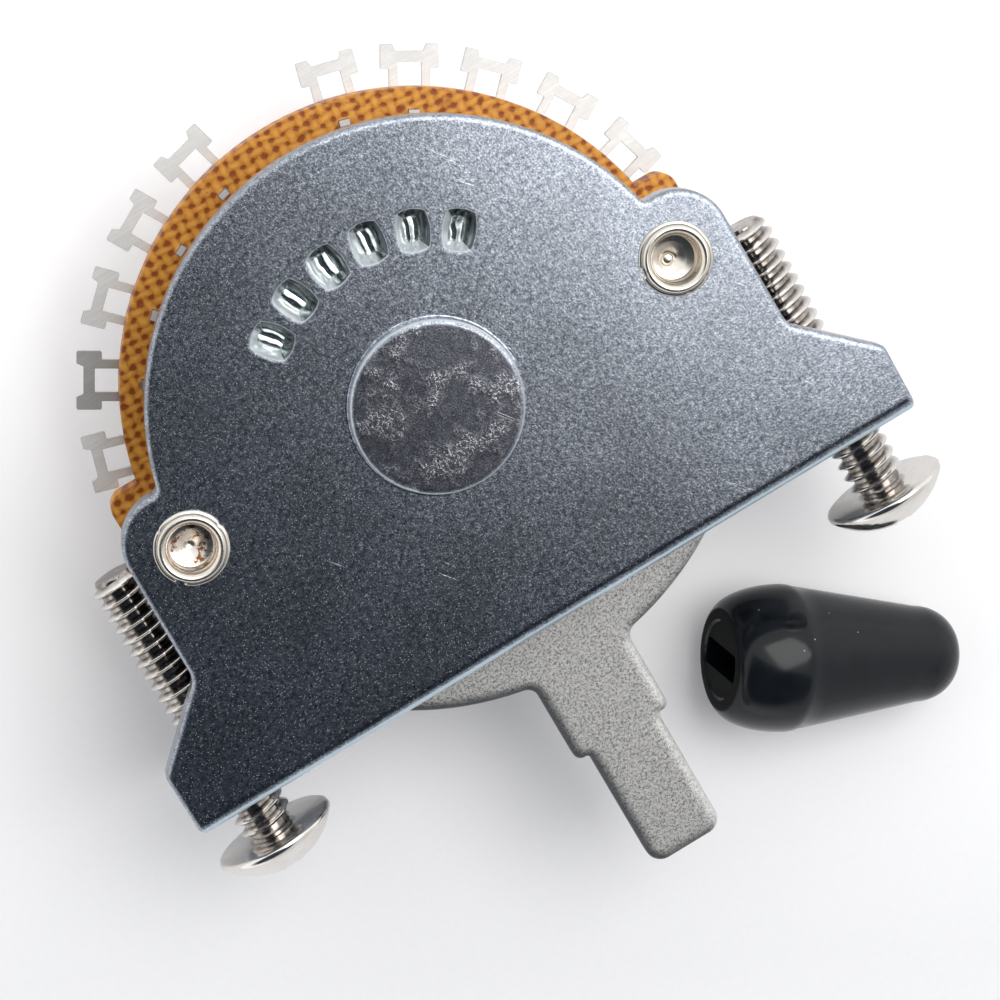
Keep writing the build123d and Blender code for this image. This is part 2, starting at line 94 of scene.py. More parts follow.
# The photograph's camera, in metres and radians
CAMERA_PLACE = (-0.007185, 0.048359, 0.1765)
CAMERA_TURNS = (("Z", 0.5300), ("X", 0.2328), ("Y", 0.0446))
FOCAL_SHARE = 3.1165
SENSOR_WIDTH = 36.0
PICTURE_UP = (0.505, 0.863)


class SwitchSizes(bpy.types.PropertyGroup):
    """Sizes of the modelled pieces, in millimetres."""

    thread_pitch: bpy.props.FloatProperty(
        name="Thread pitch", description="Rise of the screws' thread in one turn", default=0.794, min=0.3
    )
    thread_root: bpy.props.FloatProperty(
        name="Thread root radius", description="Radius at the bottom of the thread", default=1.27, min=0.5
    )
    neck_length: bpy.props.FloatProperty(
        name="Neck length", description="Plain length under the screw's head", default=0.30, min=0.1
    )
    recess_width: bpy.props.FloatProperty(
        name="Recess width", description="Width of the cross recess's arms", default=0.9, min=0.2
    )
    recess_span: bpy.props.FloatProperty(
        name="Recess span", description="Length of the cross recess's arms", default=3.9, min=1.0
    )
    recess_depth: bpy.props.FloatProperty(
        name="Recess depth", description="Depth of the cross recess", default=1.2, min=0.2
    )
    bore_r: bpy.props.FloatProperty(
        name="Rivet bore radius", description="Radius of the rivets' blind bore", default=1.3, min=0.5
    )
    bore_depth: bpy.props.FloatProperty(
        name="Rivet bore depth", description="Depth of the bore under the plate's face", default=1.0, min=0.2
    )
    cap_length: bpy.props.FloatProperty(
        name="Cap length", description="Length of the lever cap along its axis", default=15.87, min=5.0
    )
    cap_belly_at: bpy.props.FloatProperty(
        name="Belly place", description="Distance from the cap's mouth to its widest ring", default=4.12,
        min=1.0
    )
    cap_belly_r: bpy.props.FloatProperty(
        name="Belly radius", description="Largest radius of the lever cap", default=4.57, min=2.0
    )
    cap_mouth_r: bpy.props.FloatProperty(
        name="Mouth radius", description="Radius of the cap's open end", default=2.8, min=1.0
    )
    cap_nose_r: bpy.props.FloatProperty(
        name="Nose radius", description="Radius where the cap's taper ends", default=2.63, min=1.0
    )
    cap_turn: bpy.props.FloatProperty(
        name="Cap turn", description="Heading of the loose cap on the floor", default=radians(-32.5),
        subtype="ANGLE"
    )
    cap_roll: bpy.props.FloatProperty(
        name="Cap roll", description="Roll of the cap's socket", default=radians(6.0), subtype="ANGLE"
    )


class SwitchColours(bpy.types.PropertyGroup):
    """Colours of the finishes."""

    zinc_dark: bpy.props.FloatVectorProperty(
        name="Zinc, dark", description="Dark patches of the zinc plating", default=(0.105, 0.13, 0.18),
        subtype="COLOR", min=0, max=1
    )
    zinc_light: bpy.props.FloatVectorProperty(
        name="Zinc, light", description="Light patches of the zinc plating", default=(0.52, 0.55, 0.60),
        subtype="COLOR", min=0, max=1
    )
    # Worn metal on edges and scratches, also painted on the frame's rims, boss and bent corner as a highlight
    worn_edge_and_highlight: bpy.props.FloatVectorProperty(
        name="Worn edge", description="Bare metal along edges and scratches", default=(0.80, 0.85, 0.88),
        subtype="COLOR", min=0, max=1
    )
    lever_grey: bpy.props.FloatVectorProperty(
        name="Lever grey", description="Matt grained plating of the lever", default=(0.60, 0.59, 0.57),
        subtype="COLOR", min=0, max=1
    )
    thread_light: bpy.props.FloatVectorProperty(
        name="Cloth, light", description="Raised threads of the laminate's cloth", default=(0.78, 0.37, 0.06),
        subtype="COLOR", min=0, max=1
    )
    thread_dark: bpy.props.FloatVectorProperty(
        name="Cloth, dark", description="Resin between the laminate's threads", default=(0.27, 0.060, 0.008),
        subtype="COLOR", min=0, max=1
    )
    cut_edge: bpy.props.FloatVectorProperty(
        name="Cut edge", description="Pale frayed edge of the laminate", default=(0.86, 0.72, 0.58),
        subtype="COLOR", min=0, max=1
    )
    tin: bpy.props.FloatVectorProperty(
        name="Tin", description="Tinned solder lugs", default=(0.77, 0.765, 0.75), subtype="COLOR",
        min=0, max=1
    )
    nickel: bpy.props.FloatVectorProperty(
        name="Nickel", description="Nickel plated screws", default=(0.80, 0.77, 0.73), subtype="COLOR",
        min=0, max=1
    )
    rivet_metal: bpy.props.FloatVectorProperty(
        name="Rivet metal", description="Nickel plated rivets", default=(0.74, 0.69, 0.62), subtype="COLOR",
        min=0, max=1
    )
    rust: bpy.props.FloatVectorProperty(
        name="Rust", description="Rust spots in a rivet's bore", default=(0.24, 0.075, 0.015),
        subtype="COLOR", min=0, max=1
    )
    spring: bpy.props.FloatVectorProperty(
        name="Spring steel", description="Detent spring and retaining clip", default=(0.40, 0.40, 0.41),
        subtype="COLOR", min=0, max=1
    )
    cap_black: bpy.props.FloatVectorProperty(
        name="Cap black", description="Black plastic of the lever cap", default=(0.006, 0.0075, 0.0095),
        subtype="COLOR", min=0, max=1
    )
    floor: bpy.props.FloatVectorProperty(
        name="Floor", description="Pale surface under the switch", default=(0.88, 0.875, 0.885),
        subtype="COLOR", min=0, max=1
    )


class Tree:
    """Adds nodes to one shader tree and joins them in few words."""

    def __init__(self, tree):
        self.tree = tree

    def add(self, kind, inputs=None, **settings):
        node = self.tree.nodes.new(kind)
        for name, value in settings.items():
            setattr(node, name, value)
        for socket, value in (inputs or {}).items():
            self.put(node.inputs[socket], value)
        return node

    def put(self, socket, value):
        if isinstance(value, bpy.types.NodeSocket):
            self.tree.links.new(value, socket)
        elif socket.type == "RGBA":
            socket.default_value = (*value[:3], 1.0)
        else:
            socket.default_value = value

    def millimetres(self):
        place = self.add("ShaderNodeTexCoord").outputs["Object"]
        return self.add("ShaderNodeVectorMath", {0: place, "Scale": 1 / MM}, operation="SCALE").outputs[0]

    def about_pivot(self, place):
        """The place turned into x, y and distance from the lever's turning axis, and height."""
        x, y, z = self.add("ShaderNodeSeparateXYZ", {0: self.shift(place, (0, -pivot_back, 0))}).outputs
        squares = self.math("ADD", self.math("MULTIPLY", x, x), self.math("MULTIPLY", y, y))
        return x, y, self.math("SQRT", squares), z

    def math(self, operation, first, second=0.0):
        return self.add("ShaderNodeMath", {0: first, 1: second}, operation=operation).outputs[0]

    def times(self, first, second):
        return self.math("MULTIPLY", first, second)

    def either(self, first, second):
        return self.math("MAXIMUM", first, second)

    def rest(self, share):
        """What is left of 1."""
        return self.math("SUBTRACT", 1.0, share)

    def shift(self, place, offset):
        return self.add("ShaderNodeVectorMath", {0: place, 1: offset}, operation="ADD").outputs[0]

    def spread(self, value, low, high, to_low=0.0, to_high=1.0, smooth=False):
        node = self.add(
            "ShaderNodeMapRange",
            {"Value": value, "From Min": low, "From Max": high, "To Min": to_low, "To Max": to_high},
            interpolation_type="SMOOTHSTEP" if smooth else "LINEAR",
        )
        return node.outputs["Result"]

    def band(self, value, low, high, soft):
        """1 between two values, fading to 0 over a soft edge."""
        rise = self.spread(value, low, low + soft)
        return self.math("MULTIPLY", rise, self.spread(value, high - soft, high, 1.0, 0.0))

    def mix(self, share, first, second):
        node = self.add("ShaderNodeMix", data_type="RGBA", blend_type="MIX", clamp_result=True)
        self.put(node.inputs[0], share)
        self.put(node.inputs[6], first)
        self.put(node.inputs[7], second)
        return node.outputs[2]

    def noise(self, place, scale, detail=2.0, rough=0.5, distortion=0.0):
        given = {"Scale": scale, "Detail": detail, "Roughness": rough, "Distortion": distortion}
        return self.add("ShaderNodeTexNoise", {"Vector": place, **given}).outputs[0]

    def cells(self, place, scale):
        """Distance from the nearest of many scattered points, and that point's own chance."""
        found = self.add("ShaderNodeTexVoronoi", {"Vector": place, "Scale": scale}).outputs
        chance = self.add("ShaderNodeSeparateColor", {0: found["Color"]}).outputs[0]
        return found["Distance"], chance

    def facing(self, normal, heading):
        """How far a direction points along a heading."""
        node = self.add("ShaderNodeVectorMath", {0: normal, 1: heading}, operation="DOT_PRODUCT")
        return node.outputs["Value"]

    def bump(self, height, strength, depth, normal=None):
        node = self.add("ShaderNodeBump", {"Height": height, "Strength": strength, "Distance": depth * MM})
        if normal:
            self.put(node.inputs["Normal"], normal)
        return node.outputs[0]

    def group(self, tree, **inputs):
        node = self.add("ShaderNodeGroup", node_tree=tree)
        for name, value in inputs.items():
            self.put(node.inputs[name.replace("_", " ")], value)
        return node.outputs


def new_group(name, inputs, outputs):
    """A shader node group with named float sockets."""
    tree = bpy.data.node_groups.new(name, "ShaderNodeTree")
    for label, value in inputs.items():
        socket = tree.interface.new_socket(name=label, in_out="INPUT", socket_type="NodeSocketFloat")
        socket.default_value = value
    for label in outputs:
        tree.interface.new_socket(name=label, in_out="OUTPUT", socket_type="NodeSocketFloat")
    t = Tree(tree)
    return tree, t, t.add("NodeGroupInput").outputs, t.add("NodeGroupOutput").inputs


def grain_group():
    """Fine metal grain: a mottle of two sizes and rare crystal specks, which the finishes paint bright as
    glints.
    """
    name = "Metal grain"
    if name in bpy.data.node_groups:
        return bpy.data.node_groups[name]
    tree, t, given, out = new_group(name, {"Scale": 4.0, "Crystals": 0.2}, ("Mottle", "Height", "Crystal"))
    place = t.millimetres()
    fine = t.noise(place, given["Scale"], 3.0, 0.65)
    coarse = t.noise(place, t.times(given["Scale"], 0.38), 2.0, 0.5)
    blend = t.math("ADD", t.times(fine, 0.65), t.times(coarse, 0.35))
    distance, chance = t.cells(place, t.times(given["Scale"], 1.3))
    picked = t.math("LESS_THAN", chance, t.times(given["Crystals"], 0.2))
    spot = t.spread(distance, 0.15, 0.42, 1.0, 0.0)
    t.put(out["Mottle"], t.spread(blend, 0.34, 0.66))
    t.put(out["Height"], fine)
    t.put(out["Crystal"], t.times(picked, spot))
    return tree


def scratch_group():
    """Thin straight scratches in one direction, broken up into short lengths."""
    name = "Scratches"
    if name in bpy.data.node_groups:
        return bpy.data.node_groups[name]
    tree, t, given, out = new_group(name, {"Angle": 0.4, "Amount": 0.5}, ("Scratch",))
    place = t.millimetres()
    turned = t.add(
        "ShaderNodeVectorRotate", {"Vector": place, "Angle": given["Angle"]}, rotation_type="Z_AXIS"
    ).outputs[0]
    stretched = t.add("ShaderNodeMapping", {"Vector": turned, "Scale": (0.22, 5.0, 1.0)}).outputs[0]
    streak = t.noise(stretched, 1.0, 1.0, 0.4)
    where = t.noise(place, 0.35, 2.0, 0.5)
    thin = t.band(streak, 0.695, 0.745, 0.02)
    chosen = t.spread(where, t.math("SUBTRACT", 0.72, t.times(given["Amount"], 0.2)), 0.75)
    t.put(out["Scratch"], t.times(thin, chosen))
    return tree


def edge_group():
    """Bare metal along worn edges, ragged by a fine noise."""
    name = "Edge wear"
    if name in bpy.data.node_groups:
        return bpy.data.node_groups[name]
    tree, t, given, out = new_group(name, {"Width": 0.15, "Ragged": 0.4}, ("Wear",))
    radius = t.times(given["Width"], MM)
    rounded = t.add("ShaderNodeBevel", {"Radius": radius}, samples=2).outputs[0]
    plain = t.add("ShaderNodeNewGeometry").outputs["Normal"]
    edge = t.spread(t.facing(rounded, plain), 0.998, 0.86)
    ragged = t.spread(t.noise(t.millimetres(), 3.0, 3.0, 0.6), 0.3, 0.62)
    kept = t.rest(t.times(given["Ragged"], t.rest(ragged)))
    t.put(out["Wear"], t.times(edge, kept))
    return tree


def new_material(name):
    """An empty finish with its tree and its Principled shader's inputs."""
    material = bpy.data.materials.new(name)
    material.use_nodes = True
    tree = Tree(material.node_tree)
    return material, tree, material.node_tree.nodes["Principled BSDF"].inputs


def zinc_plating(colours):
    """Bright zinc plate with a fine hammered grain, crisp rims, a scuffed boss and drawn pockets, with
    painted highlights on the rims, the boss and the bent corner, painted glints, and painted highlight and
    painted shade on the pockets' walls.
    """
    material, t, skin = new_material("zinc_plating")
    place = t.millimetres()
    x, y, reach, height = t.about_pivot(place)
    grain = t.group(grain_group(), Scale=8.5, Crystals=0.8)
    scratch = t.group(scratch_group(), Angle=radians(52), Amount=0.6)["Scratch"]
    wear = t.group(edge_group(), Width=0.16, Ragged=0.1)["Wear"]
    cloud = t.spread(t.noise(place, 0.16, 3.0, 0.55), 0.35, 0.65, 0.8, 1.0)
    colour = t.mix(grain["Mottle"], colours.zinc_dark, colours.zinc_light)
    colour = t.mix(cloud, (0.0, 0.0, 0.0), colour)
    # Rare crystals painted pale as glints: painted highlight
    colour = t.mix(t.times(grain["Crystal"], 0.8), colour, (0.72, 0.80, 0.84))

    # Pockets of the detent ribs, with lines drawn outwards from the pivot
    in_ring = t.band(reach, rib_ring_r - rib_half_length, rib_ring_r + rib_half_length, 0.1)
    sunk = t.spread(height, plate_top - 0.1, plate_top - 0.3)
    in_pocket = t.times(in_ring, sunk)
    turn = t.math("ARCTAN2", x, y)
    wobble = t.times(t.noise(place, 1.0, 1.0), 0.05)
    lines = t.math("SINE", t.times(t.math("ADD", turn, wobble), tau * 18))
    drawn = t.times(t.spread(lines, -0.3, 0.9), in_pocket)
    colour = t.mix(in_pocket, colour, (0.66, 0.72, 0.71))
    colour = t.mix(t.times(drawn, 0.75), colour, (0.16, 0.19, 0.19))
    # Painted light on the pockets: walls facing one way get a painted highlight, walls facing away get
    # painted shade
    lean = t.facing(t.add("ShaderNodeTexCoord").outputs["Normal"], LIT_WALL)
    round_rib = rib_half_length + 0.45
    near_ring = t.band(reach, rib_ring_r - round_rib, rib_ring_r + round_rib, 0.1)
    painted_highlight = t.times(t.spread(lean, 0.10, 0.30), near_ring)
    painted_shade = t.times(t.spread(lean, -0.10, -0.30), near_ring)
    colour = t.mix(t.times(painted_shade, 0.8), colour, (0.05, 0.055, 0.06))

    # Boss: scuffed and pitted in clusters, smooth only where nothing rubbed it
    boss_top = plate_top + boss_rise
    flat_top = t.spread(height, boss_top - 0.25, boss_top - 0.05)
    on_boss = t.times(t.spread(reach, boss_r - 0.15, boss_r - 0.3), flat_top)
    pits = t.noise(place, 5.5, 3.0, 0.65, 0.4)
    cluster = t.spread(t.noise(place, 0.55, 2.0, 0.5), 0.46, 0.62)
    patch_middle = (1.9, pivot_back + 3.0, plate_top)
    away = t.add("ShaderNodeVectorMath", {0: place, 1: patch_middle}, operation="DISTANCE").outputs["Value"]
    patch = t.math("ADD", away, t.times(t.noise(place, 1.0, 3.0), 1.2))
    scuffed = t.times(on_boss, t.spread(patch, 2.1, 2.5))
    pitted = t.times(t.times(t.band(pits, 0.53, 0.62, 0.03), cluster), scuffed)
    colour = t.mix(t.times(on_boss, 0.65), colour, (0.13, 0.125, 0.145))
    colour = t.mix(t.times(pitted, 0.8), colour, (0.80, 0.80, 0.83))
    colour = t.mix(t.times(scratch, 0.6), colour, colours.worn_edge_and_highlight)

    # Rims worn and painted bright as a highlight, a painted highlight round the boss's side, and a painted
    # pale blue highlight along the bent corner
    bend_height = t.spread(height, plate_top - bend_r - 0.2, plate_top - bend_r + 0.1)
    painted_bend_highlight = t.times(t.band(y, -0.1 - pivot_back, 0.42 - pivot_back, 0.05), bend_height)
    foot = t.band(reach, boss_r - 0.05, boss_r + 0.6, 0.04)
    wall_height = t.band(height, plate_top + 0.1, boss_top - 0.02, 0.05)
    boss_wall_highlight = t.times(t.band(reach, boss_r - 0.3, boss_r + 0.1, 0.03), wall_height)
    rim = t.times(t.times(wear, t.rest(t.either(in_pocket, foot))), t.rest(painted_shade))
    wear_and_painted_highlight = t.either(t.either(rim, t.times(boss_wall_highlight, 0.7)), t.times(painted_bend_highlight, 0.8))
    wear_and_painted_highlight = t.either(wear_and_painted_highlight, t.times(painted_highlight, 0.9))
    colour = t.mix(wear_and_painted_highlight, colour, t.mix(painted_bend_highlight, colours.worn_edge_and_highlight, (0.52, 0.66, 0.74)))

    radius = t.spread(foot, 0.0, 1.0, 0.25 * MM, 0.02 * MM)
    rolled = t.add("ShaderNodeBevel", {"Radius": radius}, samples=3).outputs[0]
    normal = t.bump(grain["Height"], 1.0, 0.0045, rolled)
    normal = t.bump(t.times(pits, t.times(scuffed, cluster)), 0.8, 0.014, normal)
    normal = t.bump(t.times(lines, in_pocket), 0.5, 0.05, normal)
    normal = t.bump(scratch, 0.2, 0.01, normal)
    t.put(skin["Base Color"], colour)
    # Worn metal and every painted highlight and glint turn less metallic, so they stay pale whatever they
    # reflect
    glint = t.times(grain["Crystal"], 0.7)
    t.put(skin["Metallic"], t.spread(t.either(wear_and_painted_highlight, glint), 0.0, 1.0, 1.0, 0.45))
    t.put(skin["Roughness"], t.spread(grain["Mottle"], 0.0, 1.0, 0.16, 0.22))
    t.put(skin["Normal"], normal)
    return material


def lever_plating(colours):
    """Matt grained grey plating, with painted shade on the rolled-over edges of two sides and a painted
    highlight on the third.
    """
    material, t, skin = new_material("lever_plating")
    grain = t.group(grain_group(), Scale=16.0, Crystals=0.7)
    scratch = t.group(scratch_group(), Angle=radians(-30), Amount=0.5)["Scratch"]
    dark = tuple(0.20 * c for c in colours.lever_grey)
    colour = t.mix(t.spread(grain["Mottle"], 0.22, 0.62), dark, colours.lever_grey)
    # Scratches are real wear; the crystal specks are painted glints
    bright = t.math("ADD", scratch, t.times(grain["Crystal"], 0.8))
    colour = t.mix(bright, colour, (0.92, 0.91, 0.89))
    rolled = t.add("ShaderNodeBevel", {"Radius": 0.8 * MM}, samples=4).outputs[0]
    to_own = {"vector_type": "NORMAL", "convert_from": "WORLD", "convert_to": "OBJECT"}
    own = t.add("ShaderNodeVectorTransform", {0: rolled}, **to_own).outputs[0]
    # Painted shade on the rolled edges of two sides and a painted highlight on the third, picked by the
    # lever's own normals
    painted_shade_side = t.spread(t.facing(own, SHADE_PAINTED_SIDES), 0.03, 0.42)
    painted_highlight_side = t.spread(t.facing(own, HIGHLIGHT_PAINTED_SIDE), 0.05, 0.40)
    colour = t.mix(t.times(painted_shade_side, 0.92), colour, (0.045, 0.052, 0.060))
    colour = t.mix(t.times(painted_highlight_side, 0.45), colour, (0.93, 0.92, 0.90))
    t.put(skin["Base Color"], colour)
    skin["Metallic"].default_value = 0.75
    t.put(skin["Roughness"], t.spread(grain["Mottle"], 0.0, 1.0, 0.36, 0.46))
    t.put(skin["Normal"], t.bump(grain["Height"], 1.0, 0.012, rolled))
    return material


def cloth_laminate(colours):
    """Resin board with a plain woven cloth showing through, and a pale frayed edge."""
    material, t, skin = new_material("cloth_laminate")
    place = t.millimetres()
    drift = t.add("ShaderNodeTexNoise", {"Vector": place, "Scale": 0.8, "Detail": 2.0}).outputs["Color"]
    drift = t.add("ShaderNodeVectorMath", {0: drift, "Scale": 0.5}, operation="SCALE").outputs[0]
    moved = t.shift(place, drift)
    turned = t.add("ShaderNodeMapping", {"Vector": moved, "Rotation": (0, 0, radians(3))}).outputs[0]
    across, along, _ = t.add("ShaderNodeSeparateXYZ", {0: turned}).outputs
    warp_pitch, weft_pitch = 0.73, 0.60
    warp = t.math("SINE", t.times(across, pi / warp_pitch))
    weft = t.math("SINE", t.times(along, pi / weft_pitch))
    over = t.math("SIGN", t.times(warp, weft))
    warp = t.math("ABSOLUTE", warp)
    weft = t.math("ABSOLUTE", weft)
    lift = t.times(over, 0.30)
    warp_height = t.times(warp, t.math("ADD", 0.70, t.times(lift, weft)))
    weft_height = t.times(weft, t.math("SUBTRACT", 0.70, t.times(lift, warp)))
    cloth = t.either(warp_height, weft_height)
    hole = t.times(t.rest(warp), t.rest(weft))
    fibre = t.noise(place, 7.0, 3.0, 0.6)
    patch = t.noise(place, 1.1, 3.0, 0.6)
    shade = t.math("ADD", cloth, t.times(t.math("SUBTRACT", fibre, 0.5), 0.45))
    colour = t.mix(t.spread(shade, 0.45, 1.0), (0.52, 0.19, 0.022), colours.thread_light)
    colour = t.mix(t.spread(patch, 0.35, 0.7, 0.0, 0.4), colour, (0.46, 0.155, 0.022))
    deep = t.math("ADD", hole, t.times(t.math("SUBTRACT", patch, 0.5), 1.3))
    colour = t.mix(t.spread(deep, 0.12, 0.36), colour, colours.thread_dark)

    frayed = t.group(edge_group(), Width=0.16, Ragged=0.9)["Wear"]
    colour = t.mix(t.times(frayed, 0.5), colour, colours.cut_edge)
    t.put(skin["Base Color"], colour)
    skin["Specular IOR Level"].default_value = 0.3
    t.put(skin["Roughness"], t.spread(cloth, 0.2, 0.9, 0.36, 0.52))
    t.put(skin["Normal"], t.bump(t.math("ADD", cloth, t.times(fibre, 0.6)), 0.5, 0.05))
    return material


def tinned_sheet(name, base):
    """Thin tinned sheet with fine rolling lines and dark cut edges."""
    material, t, skin = new_material(name)
    place = t.millimetres()
    grain = t.group(grain_group(), Scale=4.5, Crystals=0.0)
    wear = t.group(edge_group(), Width=0.08, Ragged=0.2)["Wear"]
    rolled = t.add("ShaderNodeMapping", {"Vector": place, "Scale": (0.5, 9.0, 1.0)}).outputs[0]
    drawn = t.noise(rolled, 1.0, 2.0)
    cloud = t.spread(t.noise(place, 0.5, 2.0, 0.5), 0.35, 0.65)
    colour = t.mix(t.spread(drawn, 0.35, 0.65), tuple(0.88 * c for c in base), base)
    colour = t.mix(t.times(grain["Mottle"], 0.4), colour, tuple(0.8 * c for c in base))
    colour = t.mix(t.times(cloud, 0.35), colour, tuple(0.72 * c for c in base))
    colour = t.mix(t.times(wear, 0.7), colour, (0.20, 0.19, 0.18))
    t.put(skin["Base Color"], colour)
    skin["Metallic"].default_value = 0.35
    t.put(skin["Roughness"], t.spread(grain["Mottle"], 0.0, 1.0, 0.30, 0.40))
    t.put(skin["Normal"], t.bump(grain["Height"], 0.2, 0.025))
    return material


def polished_nickel(name, base, tarnish, roughness):
    """Polished nickel with a faint brown tarnish and handling marks."""
    material, t, skin = new_material(name)
    place = t.millimetres()
    grain = t.group(grain_group(), Scale=2.4, Crystals=0.0)
    scratch = t.group(scratch_group(), Angle=radians(15), Amount=0.6)["Scratch"]
    brown = t.spread(t.noise(place, 0.8, 3.0, 0.6), 0.45, 0.75, 0.0, tarnish)
    colour = t.mix(brown, base, (0.34, 0.25, 0.18))
    colour = t.mix(t.times(grain["Mottle"], 0.12), colour, (0.45, 0.42, 0.39))
    t.put(skin["Base Color"], colour)
    skin["Metallic"].default_value = 1.0
    t.put(skin["Roughness"], t.spread(grain["Mottle"], 0.0, 1.0, roughness, roughness + 0.07))
    t.put(skin["Normal"], t.bump(t.math("ADD", grain["Height"], scratch), 0.12, 0.02))
    return material, t, skin, colour


def screw_nickel(colours):
    """The screws' nickel, with painted shade at the bottom of the thread."""
    material, t, skin, colour = polished_nickel("screw_nickel", colours.nickel, 0.18, 0.11)
    place = t.millimetres()
    low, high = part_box("mounting_screw_right")
    axis_x, axis_z = (low[0] + high[0]) / 2 / MM, (low[2] + high[2]) / 2 / MM
    x, _, z = t.add("ShaderNodeSeparateXYZ", {0: place}).outputs
    off_x = t.math("SUBTRACT", t.math("ABSOLUTE", x), axis_x)
    off_z = t.math("SUBTRACT", z, axis_z)
    squares = t.math("ADD", t.times(off_x, off_x), t.times(off_z, off_z))
    # Painted shade at the roots of the thread, patchy by a noise
    root = t.spread(t.math("SQRT", squares), 1.62, 1.36)
    painted_shade = t.times(root, t.spread(t.noise(place, 1.4, 3.0, 0.6), 0.3, 0.6, 0.35, 0.8))
    t.put(skin["Base Color"], t.mix(painted_shade, colour, (0.13, 0.10, 0.085)))
    return material


def rivet_plating(colours):
    """Nickel plated rivet metal, with rust spots low in the left rivet's bore."""
    material, t, skin, colour = polished_nickel("rivet_plating", colours.rivet_metal, 0.25, 0.20)
    place = t.millimetres()
    x, _, _, height = t.about_pivot(place)
    low = t.times(t.spread(height, plate_top - 0.8, plate_top - 1.0), t.math("LESS_THAN", x, 0.0))
    blot = t.spread(t.noise(place, 1.9, 4.0, 0.7, 0.4), 0.55, 0.62)
    colour = t.mix(t.times(low, blot), colour, colours.rust)
    t.put(skin["Base Color"], colour)
    return material


def dull_plating(name, base):
    """Plain plated metal for washers, spacers, spring and clip."""
    material, t, skin = new_material(name)
    grain = t.group(grain_group(), Scale=3.5, Crystals=0.1)
    wear = t.group(edge_group(), Width=0.15, Ragged=0.4)["Wear"]
    dark = tuple(0.7 * c for c in base)
    colour = t.mix(grain["Mottle"], dark, base)
    colour = t.mix(t.times(wear, 0.5), colour, (0.75, 0.75, 0.75))
    t.put(skin["Base Color"], colour)
    skin["Metallic"].default_value = 0.95
    t.put(skin["Roughness"], t.spread(grain["Mottle"], 0.0, 1.0, 0.28, 0.42))
    t.put(skin["Normal"], t.bump(grain["Height"], 0.25, 0.03))
    return material


def gloss_plastic(colours):
    """Glossy black plastic with a few dust specks and painted shade on the mouth."""
    material, t, skin = new_material("gloss_plastic")
    place = t.millimetres()
    distance, chance = t.cells(place, 1.1)
    speck = t.times(t.math("LESS_THAN", chance, 0.35), t.spread(distance, 0.035, 0.055, 1.0, 0.0))
    haze = t.noise(place, 0.5, 3.0, 0.6)
    paler = tuple(1.7 * c for c in colours.cap_black)
    colour = t.mix(t.spread(haze, 0.4, 0.7, 0.0, 0.5), colours.cap_black, paler)
    colour = t.mix(speck, colour, (0.42, 0.42, 0.42))
    # The mouth is rougher than the glossy outside, and its colour is painted darker as shade
    mouth = t.spread(t.facing(t.add("ShaderNodeTexCoord").outputs["Normal"], cap_mouth_heading), 0.88, 0.96)
    colour = t.mix(mouth, colour, (0.002, 0.0025, 0.003))
    t.put(skin["Base Color"], colour)
    t.put(skin["Roughness"], t.either(t.spread(haze, 0.3, 0.7, 0.12, 0.19), t.times(mouth, 0.85)))
    skin["IOR"].default_value = 1.35
    t.put(skin["Normal"], t.bump(t.math("ADD", t.noise(place, 0.35, 2.0), speck), 0.10, 0.05))
    return material


def pale_table(colours):
    """Pale smooth table top with a faint grain and painted light: a glow only the camera sees."""
    material, t, skin = new_material("pale_table")
    place = t.millimetres()
    grain = t.noise(place, 2.5, 3.0, 0.6)
    faint = tuple(0.985 * c for c in colours.floor)
    t.put(skin["Base Color"], t.mix(t.spread(grain, 0.35, 0.65), faint, colours.floor))
    skin["Roughness"].default_value = 0.6
    skin["Specular IOR Level"].default_value = 0.25

    # Painted light: the camera alone sees the surface lifted towards white, more so at the far side
    x, y, _ = t.add("ShaderNodeSeparateXYZ", {0: place}).outputs
    far = t.math("ADD", t.times(x, PICTURE_UP[0]), t.times(y, PICTURE_UP[1]))
    lift = t.spread(far, -26.0, 12.0)
    camera_glow = t.times(t.add("ShaderNodeLightPath").outputs["Is Camera Ray"], lift)
    t.put(skin["Emission Color"], t.mix(camera_glow, (0.0, 0.0, 0.0), (0.23, 0.225, 0.225)))
    skin["Emission Strength"].default_value = 1.0
    return material


def dress(material, *nodes):
    """Give CAD nodes their finish."""
    for name in nodes:
        mesh = frame["nodes"][name].data
        mesh.materials.clear()
        mesh.materials.append(material)


def settle(bm, name, node, material, place, sharp=38.0):
    """Turn a bmesh in millimetres into the finished piece that stands for one CAD node."""
    bmesh.ops.recalc_face_normals(bm, faces=bm.faces[:])
    bmesh.ops.transform(bm, matrix=Matrix.Scale(MM, 4) @ place, verts=bm.verts[:])
    mesh = bpy.data.meshes.new(name)
    bm.to_mesh(mesh)
    bm.free()
    mesh.polygons.foreach_set("use_smooth", [True] * len(mesh.polygons))
    mesh.set_sharp_from_angle(angle=radians(sharp))
    mesh.materials.append(material)
    piece = bpy.data.objects.new(name, mesh)
    bpy.context.scene.collection.objects.link(piece)
    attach(piece, "switch")
    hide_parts(node)


def spin_profile(bm, points, axis, steps):
    """Spin an outline whose ends lie on the axis into a closed turned shape."""
    verts = [bm.verts.new(point) for point in points]
    edges = [bm.edges.new(pair) for pair in zip(verts, verts[1:])]
    bmesh.ops.spin(
        bm, geom=verts + edges, cent=(0, 0, 0), axis=axis, dvec=(0, 0, 0), angle=tau, steps=steps,
        use_merge=True, use_duplicate=False
    )
    bmesh.ops.remove_doubles(bm, verts=bm.verts[:], dist=1e-4)


def open_edges(bm, height):
    """The free edges that lie at one height."""
    return [e for e in bm.edges if e.is_boundary and all(abs(v.co.z - height) < 1e-3 for v in e.verts)]


